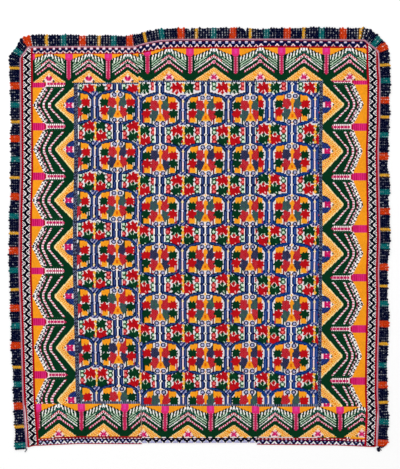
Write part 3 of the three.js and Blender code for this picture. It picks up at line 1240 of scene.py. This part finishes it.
# How far the band reaches beyond the seam line, and how much more round the top right corner.
EDGING_REACH = {"side": 32, "top": 37, "corner": 6}
# The slow waves in its reach, each with its height and its length.
EDGING_WANDER = ((1.4, 610), (0.9, 233))
# Each yarn of the crochet, and how long a stretch of it is. The navy is worked between the stretches.
CROCHET_YARNS = {
    "navy": ("#090E2C", 0),
    "orange": ("#CE3C10", 23),
    "yellow": ("#DCA430", 9.5),
    "teal": ("#0A6A6C", 18),
}
# The stretches of each side in turn by their first letters, and where their middles lie: y down the
# left and the right side, and x along the top.
STRETCHES = {
    "left": ("tyo" * 5 + "toytoyt", (
        640, 585, 525, 461, 403, 345, 274, 213, 149, 82, 24, -35, -102, -169, -230, -291, -359, -433, -490,
        -563, -632, -697)),
    "top": ("oyt" * 7, (
        -584, -520, -461, -398, -342, -292, -236, -185, -128, -63, -10, 48, 114, 173, 228, 298, 355, 415,
        488, 546, 598)),
    "right": ("oyt" * 7 + "o", (
        653, 595, 541, 476, 417, 357, 284, 220, 163, 97, 35, -22, -90, -156, -216, -286, -354, -424, -492,
        -551, -617, -690)),
}


def crochet_cell():
    """Two fat trebles side by side with the chain that runs across their heads."""
    wide, tall = CROCHET_CELL
    paths = []
    for foot in TREBLE_FEET:
        paths.append([(foot, -0.3, 1.5, 2.0), (foot, 2.0, 1.9, 2.12), (foot, 4.4, 2.0, 2.14),
                      (foot, 6.8, 1.9, 2.12), (foot, tall + 0.3, 1.5, 2.0)])
    for side in (-1, 1):
        paths.append([
            (0, tall - 0.3 * side, 2.6, 0.8),
            (wide * 0.25, tall - 1.0 * side, 2.7, 1.1),
            (wide * 0.5, tall + 0.3 * side, 2.6, 0.9),
            (wide * 0.75, tall + 1.0 * side, 2.7, 1.1),
            (wide, tall - 0.3 * side, 2.6, 0.8),
        ])
    return strands("crochet cell", paths)


def picot_cell():
    """A small loop that stands over each pair of trebles of the last row."""
    wide, _ = CROCHET_CELL
    path = [(wide * 0.14, -0.6, 1.9, 1.3), (wide * 0.2, 1.8, 2.1, 1.5), (wide * 0.46, 3.4, 2.2, 1.7),
            (wide * 0.72, 1.8, 2.1, 1.5), (wide * 0.76, -0.6, 1.9, 1.3)]
    return strands("picot", [path])


def edging_reach(x, y):
    """How far the band reaches beyond the cord: a little more along the top, and never quite even."""
    base = EDGING_REACH["side"] + (EDGING_REACH["top"] - EDGING_REACH["side"]) * np.clip((y - 590) / 60, 0, 1)
    base += EDGING_REACH["corner"] * np.exp(-np.hypot(x - 590, y - 664) ** 2 / 2600)
    for size, wave_length in EDGING_WANDER:
        base += size * np.sin((x + 2 * y) * TAU / wave_length)
    return base


def stretch_colours(line, along):
    """The yarn of each place along the band. Lengths are measured along the middle of the band."""
    x, y = line.lay(line.at, EDGING_REACH["side"] / 2)
    run = np.concatenate([[0], np.cumsum(np.hypot(np.diff(x), np.diff(y)))])
    place = np.interp(along, line.at, run)
    yarn = np.zeros(len(along), int)
    letters = [name[0] for name in CROCHET_YARNS]
    lengths = [length for _, length in CROCHET_YARNS.values()]
    for side, (order, middles) in STRETCHES.items():
        reading = x if side == "top" else y
        start, end = (line.bends[bend] for bend in SIDE_BENDS[side])
        here = (line.at >= start) & (line.at <= end)
        for letter, middle in zip(order, middles):
            number = letters.index(letter)
            at = run[here][abs(reading[here] - middle).argmin()]
            yarn[abs(place - at) < lengths[number] / 2] = number
    return yarn


def crochet_band(line, name, first, count, columns, share, seed):
    """Some of the columns of the crocheted band, laid out beside the seam line."""
    wide, tall = CROCHET_CELL
    height = CROCHET_ROWS * tall
    cells = repeated(crochet_cell(), (count, wide, 0), (CROCHET_ROWS, 0, tall))
    picots = repeated(picot_cell(), (count, wide, 0))
    picots.transform(Matrix.Translation((0, height, 0)))
    bm = bmesh.new()
    bm.from_mesh(cells)
    bm.from_mesh(picots)
    mesh = into_mesh(bm, bpy.data.meshes.new(name))
    points = worked_loosely(mesh_points(mesh), count, share, seed)
    total = line.length + sum(OVERRUN)
    along = (points[:, 0] / wide + first) * total / columns - OVERRUN[0]
    x, y = line.lay(along, 0)
    body = edging_reach(x, y) + unevenness(x, y) - PICOT_HEIGHT
    level = points[:, 1] / height
    out = SEAM_GAP + np.where(level <= 1, level * body, body + (level - 1) * height)
    # the last stitches on the right draw in and bend out to a rounded tip
    tip = np.clip((line.length + OVERRUN[1] - along) / 10, 0, 1)
    out = out * (0.82 + 0.18 * np.sqrt(tip))
    last = np.clip((along - line.length - OVERRUN[1] + 26) / 26, 0, 1) ** 2
    along = along + last * (10 * np.sin(np.pi * np.clip(0.1 + 0.85 * level, 0, 1)) - 3)
    x, y = line.lay(along, np.maximum(out, SEAM_GAP))
    place_points(mesh, x, y, np.clip(points[:, 2], 0.1, None))
    palette = np.array([linear(code) for code, _ in CROCHET_YARNS.values()])
    starts = np.empty(len(mesh.polygons), int)
    mesh.polygons.foreach_get("loop_start", starts)
    colour_faces(mesh, palette[stretch_colours(line, along[loop_corners(mesh)[starts]])])
    return mesh


def worked_loosely(points, count, share, seed):
    """Even stitches made uneven: each shifts a little, holes open between trebles, and picots differ."""
    wide, tall = CROCHET_CELL
    random = np.random.default_rng(seed)
    size = (count + 2, CROCHET_ROWS + 2)
    column = np.rint(points[:, 0] / wide).astype(int).clip(0, count)
    level = np.floor(points[:, 1] / tall).astype(int).clip(0, CROCHET_ROWS)
    run = np.arange(size[0])
    loose = 0.9 + 0.2 * np.sin(run * 0.31 + seed) + 0.15 * np.sin(run * 0.113)
    hole = np.where(random.random(size) < share, random.uniform(0.7, 1.6, size), 0.1) * loose[:, None]
    hole[:, CROCHET_ROWS:] = 0
    aside = points[:, 0] - column * wide
    level_middle = points[:, 1] - (level + 0.5) * tall
    opening = hole[column, level] * np.sqrt(np.clip(1 - (level_middle / 2.9) ** 2, 0, 1))
    points = points.copy()
    points[:, 0] += np.sign(aside) * opening * np.clip(1 - abs(aside) / 4.4, 0, 1)
    cell = np.floor(points[:, 0] / wide).astype(int).clip(0, count)
    points += random.normal(0, 0.22, size + (3,))[cell, level] * (1, 1, 0.6)
    over = np.maximum(points[:, 1] - CROCHET_ROWS * tall, 0)
    points[:, 1] += over * random.uniform(-0.8, 0.6, size[0])[cell]
    return points


# Places where the band is worked wider, or narrower where negative: where each is, how long and how much.
UNEVEN = {
    "left": ((560, 130, 5), (400, 60, -2), (391, 9, -4), (240, 110, 4), (-27, 10, -3), (-65, 90, 5),
             (-190, 90, -2), (-375, 110, 4), (-490, 60, -3), (-690, 90, 8)),
    "top": ((-600, 64, -4), (-447, 60, 3), (-225, 60, 3), (-32, 7, -11), (156, 7, -12), (206, 50, -3),
            (390, 130, 5), (600, 90, -6)),
    "right": ((560, 130, 4), (185, 70, 6), (143, 9, -4), (0, 50, 3), (-175, 90, -4), (-197, 9, -3),
              (-326, 50, 4), (-690, 80, 6)),
}


def unevenness(x, y):
    """How much wider the band is worked at each place."""
    wider = np.zeros(len(x))
    sides = {"left": (y, x < -500), "top": (x, y > 620), "right": (y, x > 500)}
    for side, (run, here) in sides.items():
        for at, length, size in UNEVEN[side]:
            wider += np.where(here, size * np.exp(-((run - at) / (length / 2)) ** 2), 0)
    return wider


def crochet_edging(line):
    """The band in three pieces, one for each side. The first of them stands for the CAD's whole band."""
    wide = CROCHET_CELL[0]
    columns = round((line.length + sum(OVERRUN)) / wide)
    cuts = [0, *(round((line.bends[bend] + OVERRUN[0]) / wide) for bend in CUT_BENDS), columns]
    for number, (side, share) in enumerate(HOLE_SHARES.items()):
        name = f"crochet_band_{side}"
        first, count = cuts[number], cuts[number + 1] - cuts[number]
        mesh = crochet_band(line, name, first, count, columns, share, CROCHET_SEED + number)
        replaced = ["crochet_edging"] if number == 0 else []
        finish_piece(name, mesh, MATERIALS["crochet"], "crochet_yarn", *replaced)


# ---------------------------------------------------------------- loose ends
TUFT_ENDS = ((606.4, -705.0), (609.2, -711.5), (612.4, -717.6))
TUFT_STRANDS = 14
THREAD_ENDS = ((-586.4, -708.6), (-588.0, -712.6), (-590.2, -716.4), (-593.8, -720.6))
THREAD_STEPS = 22
THREAD_TURNS = 2.2
# The direction square to the thread's length, in which its plies pass from side to side.
THREAD_ASIDE = (0.88, -0.47)


def loose_strands(name, paths, material, node):
    """A piece of a few short strands, in place of its node."""
    mesh = strands(name, paths)
    mesh.transform(Matrix.Scale(MM, 4))
    finish_piece(name, mesh, MATERIALS[material], "crochet_yarn", node)


def yarn_tuft():
    """The cut ends of the last crochet yarns: a dozen or so short strands that spread a little."""
    random = np.random.default_rng(5)
    root, middle, tip = (np.array(place) for place in TUFT_ENDS)
    across = np.array((1.0, 0.45))
    paths = []
    for spread in np.linspace(-1, 1, TUFT_STRANDS):
        lift = 0.9 + random.uniform(0, 1.9)
        ends = [root + across * spread * 3.4, middle + across * spread * 5.2 + random.normal(0, 0.4, 2),
                tip + across * spread * 5.6 + random.normal(0, 1.0, 2)]
        sizes = ((lift + 0.3, 1.0), (lift + 0.5, 1.0), (1.1, 0.8))
        paths.append([(*place, height, radius) for place, (height, radius) in zip(ends, sizes)])
    loose_strands("yarn_tuft_strands", paths, "dark yarn", "yarn_tuft")


def thread_end():
    """The end of the cord's thread: two plies wound round each other, bent outward."""
    places = np.array(THREAD_ENDS)
    at = np.linspace(0, 1, len(places))
    shares = np.linspace(0, 1, THREAD_STEPS)
    line = np.stack([np.interp(shares, at, places[:, axis]) for axis in (0, 1)], 1)
    radius = 0.95 - 0.35 * shares ** 3
    paths = []
    for ply in (0, 0.5):
        turn = TAU * (shares * THREAD_TURNS + ply)
        side = np.array(THREAD_ASIDE) * 0.72 * np.cos(turn)[:, None]
        height = 1.75 + 0.6 * np.sin(turn)
        paths.append([(*place, up, thick) for place, up, thick in zip(line + side, height, radius)])
    loose_strands("thread_end_plies", paths, "grey thread", "thread_end")


# ---------------------------------------------------------------- materials
# The sizes of the patterns, in mm. Wool fibre is far finer than the clumps, which are as coarse as they
# have to be to show.
FADED_PATCH = 45.5
FIBRE_CLUMP = 0.714
FIBRE_STRETCH = 0.4
FUZZ_PATCH = 6.25
CARRIED_WEFT = (38.5, 2.94)
REVERSE_WEFT = 2.9
# The scale at which the bands of a wave texture lie about one unit apart.
WAVE_SCALE = 1 / math.pi


def linear(code):
    """An sRGB hex colour as linear RGB and an alpha of 1."""
    channels = [int(code[i:i + 2], 16) / 255 for i in (1, 3, 5)]
    return [c / 12.92 if c <= 0.04045 else ((c + 0.055) / 1.055) ** 2.4 for c in channels] + [1.0]


def add_node(tree, kind, inputs=None, **settings):
    """Adds a shader node. Settings are its properties, and inputs hold a value for each socket, or the
    socket that feeds it."""
    node = tree.nodes.new("ShaderNode" + kind)
    for name, value in settings.items():
        setattr(node, name, value)
    for key, value in (inputs or {}).items():
        if isinstance(value, bpy.types.NodeSocket):
            tree.links.new(value, node.inputs[key])
        else:
            node.inputs[key].default_value = value
    return node


def new_tree(name):
    """An empty node material, and the tree that the caller fills."""
    material = bpy.data.materials.new(name)
    material.use_nodes = True
    material.node_tree.nodes.clear()
    return material, material.node_tree


def floor_paint():
    """Matt white wall paint, with the faint unevenness that a roller leaves."""
    material, tree = new_tree("matt white paint")
    grain = add_node(tree, "TexNoise", {"Scale": 4.0, "Detail": 2.0})
    tone = add_node(tree, "MapRange", {"Value": grain.outputs["Fac"], "To Min": 0.985, "To Max": 1.0})
    shade = add_node(tree, "Mix", {"Factor": tone.outputs[0], "A": 0.9, "B": 1.0}, data_type="FLOAT")
    paint = add_node(tree, "BsdfPrincipled", {"Roughness": 0.9, "Base Color": shade.outputs[0]})
    add_node(tree, "OutputMaterial", {"Surface": paint.outputs[0]})
    return material


def brocaded_wool():
    """Dyed wool floats over a cotton ground. Matt, with every float a small soft cushion."""
    material, tree = new_tree("brocaded wool")
    # one cell for each stitch, with a tone of its own
    count = add_node(tree, "UVMap", uv_map="stitches")
    centred = add_node(tree, "Mapping", {"Vector": count.outputs[0], "Location": (0.5, 0.5, 0)})
    stitch = add_node(tree, "TexVoronoi", {
        "Vector": centred.outputs[0], "Scale": 1.0, "Randomness": 0.0}, distance="CHEBYCHEV")
    own_tone = add_node(tree, "SeparateColor", {0: stitch.outputs["Color"]})
    tone = add_node(tree, "MapRange", {0: own_tone.outputs[0], 3: 0.90, 4: 1.10})
    # wider patches that have faded a little more or less
    place = add_node(tree, "TexCoord")
    fade = add_node(tree, "TexNoise", {
        "Vector": place.outputs["Object"], "Scale": 1 / (FADED_PATCH * MM), "Detail": 3.0})
    faded = add_node(tree, "MapRange", {0: fade.outputs[0], 1: 0.3, 2: 0.7, 3: 0.94, 4: 1.05})
    value = add_node(tree, "Math", {0: tone.outputs[0], 1: faded.outputs[0]}, operation="MULTIPLY")
    yarn = add_node(tree, "Attribute", attribute_name="yarn colour")
    colour = add_node(tree, "HueSaturation", {
        "Color": yarn.outputs["Color"], "Value": value.outputs[0]})
    # fibres that lie across the cloth, on the cushion of each stitch
    along = add_node(tree, "Mapping", {
        "Vector": place.outputs["Object"], "Scale": (FIBRE_STRETCH, 1, 1)})
    fibre = add_node(tree, "TexNoise", {
        "Vector": along.outputs[0], "Scale": 1 / (FIBRE_CLUMP * MM), "Detail": 2.0})
    cushion = add_node(tree, "MapRange", {
        0: stitch.outputs["Distance"], 1: 0.15, 2: 0.5, 3: 1.0, 4: 0.0}, interpolation_type="SMOOTHSTEP")
    height = add_node(tree, "Math", {
        0: fibre.outputs[0], 1: 0.35, 2: cushion.outputs[0]}, operation="MULTIPLY_ADD")
    bump = add_node(tree, "Bump", {"Height": height.outputs[0], "Strength": 0.5, "Distance": 0.0006})
    shader = add_node(tree, "BsdfPrincipled", {
        "Base Color": colour.outputs[0], "Roughness": 1.0, "Specular IOR Level": 0.0,
        "Normal": bump.outputs[0]})
    add_node(tree, "OutputMaterial", {"Surface": shader.outputs[0]})
    return material


def brocade_reverse():
    """The back of the cloth: undyed cotton ground under loose weft ends carried across in many colours."""
    material, tree = new_tree("brocade reverse")
    place = add_node(tree, "TexCoord")
    long, wide = CARRIED_WEFT
    stretched = add_node(tree, "Mapping", {
        "Vector": place.outputs["Object"], "Scale": (1 / (long * MM), 1 / (wide * MM), 1)})
    carried = add_node(tree, "TexNoise", {"Vector": stretched.outputs[0], "Scale": 1.0, "Detail": 2.0})
    ramp = add_node(tree, "ValToRGB", {0: carried.outputs[0]})
    ramp.color_ramp.interpolation = "CONSTANT"
    stops = ((0.0, "dark green"), (0.38, "navy"), (0.45, "red"), (0.5, "white"), (0.62, "orange"),
             (0.68, "magenta"))
    while len(ramp.color_ramp.elements) < len(stops):
        ramp.color_ramp.elements.new(0.5)
    for element, (at, yarn) in zip(ramp.color_ramp.elements, stops):
        element.position = at
        element.color = linear(YARNS[yarn])
    weft = add_node(tree, "TexWave", {
        "Vector": place.outputs["Object"], "Scale": WAVE_SCALE / (REVERSE_WEFT * MM), "Distortion": 0.6},
        bands_direction="Y")
    bump = add_node(tree, "Bump", {"Height": weft.outputs["Fac"], "Strength": 0.6, "Distance": 0.0005})
    shader = add_node(tree, "BsdfPrincipled", {
        "Base Color": ramp.outputs[0], "Roughness": 0.92, "Specular IOR Level": 0.2,
        "Normal": bump.outputs[0]})
    add_node(tree, "OutputMaterial", {"Surface": shader.outputs[0]})
    return material


def spun_yarn(name, base, ply_width, groove_shading):
    """Plied yarn. Fine slanting grooves between the plies and a little fuzz break up the light in the bump,
    and the same height tints
    the colour: painted shade in the grooves and painted highlight on the plies, with the fuzz varying it at
    random. Without a base colour each stitch keeps its own."""
    material, tree = new_tree(name)
    place = add_node(tree, "TexCoord")
    if base is None:
        source = add_node(tree, "Attribute", attribute_name="yarn colour").outputs["Color"]
    else:
        source = add_node(tree, "RGB").outputs[0]
        source.default_value = linear(base)
    ply = add_node(tree, "TexWave", {
        "Vector": place.outputs["Object"], "Scale": WAVE_SCALE / (ply_width * MM), "Distortion": 3.0,
        "Detail": 2.0, "Detail Scale": 1.5}, bands_direction="DIAGONAL")
    fuzz = add_node(tree, "TexNoise", {
        "Vector": place.outputs["Object"], "Scale": 1 / (FUZZ_PATCH * MM), "Detail": 4.0})
    mixed = add_node(tree, "Math", {
        0: ply.outputs["Fac"], 1: 0.5, 2: fuzz.outputs[0]}, operation="MULTIPLY_ADD")
    # the colour follows the ply height: painted shade in the grooves and painted highlight on the ridges, as
    # strong as the last argument says
    tone = add_node(tree, "MapRange", {
        0: mixed.outputs[0], 1: 0.3, 2: 1.2, 3: 1 - groove_shading, 4: 1 + groove_shading})
    colour = add_node(tree, "HueSaturation", {"Color": source, "Value": tone.outputs[0]})
    bump = add_node(tree, "Bump", {"Height": mixed.outputs[0], "Strength": 0.6, "Distance": 0.0006})
    shader = add_node(tree, "BsdfPrincipled", {
        "Base Color": colour.outputs[0], "Roughness": 1.0, "Specular IOR Level": 0.0,
        "Normal": bump.outputs[0]})
    add_node(tree, "OutputMaterial", {"Surface": shader.outputs[0]})
    return material


make_camera()
make_light()
make_floor()
MATERIALS = {
    "brocade": brocaded_wool(),
    "reverse": brocade_reverse(),
    # the last figure of each yarn is how strong the painted shade in its grooves and the painted highlight on
    # its plies are
    "cord": spun_yarn("twisted cotton cord", "#C68CA2", 1.4, 0.18),
    "crochet": spun_yarn("crochet wool", None, 1.2, 0.45),
    "dark yarn": spun_yarn("navy yarn ends", "#0B1028", 1.0, 0.3),
    "grey thread": spun_yarn("grey cotton thread", "#4C4C56", 1.0, 0.2),
}
for seed, panel in enumerate(LOOM_WIDTHS, 1):
    woven_panel(panel, seed)
seam_line = EdgeLine()
edge_cord(seam_line)
crochet_edging(seam_line)
yarn_tuft()
thread_end()
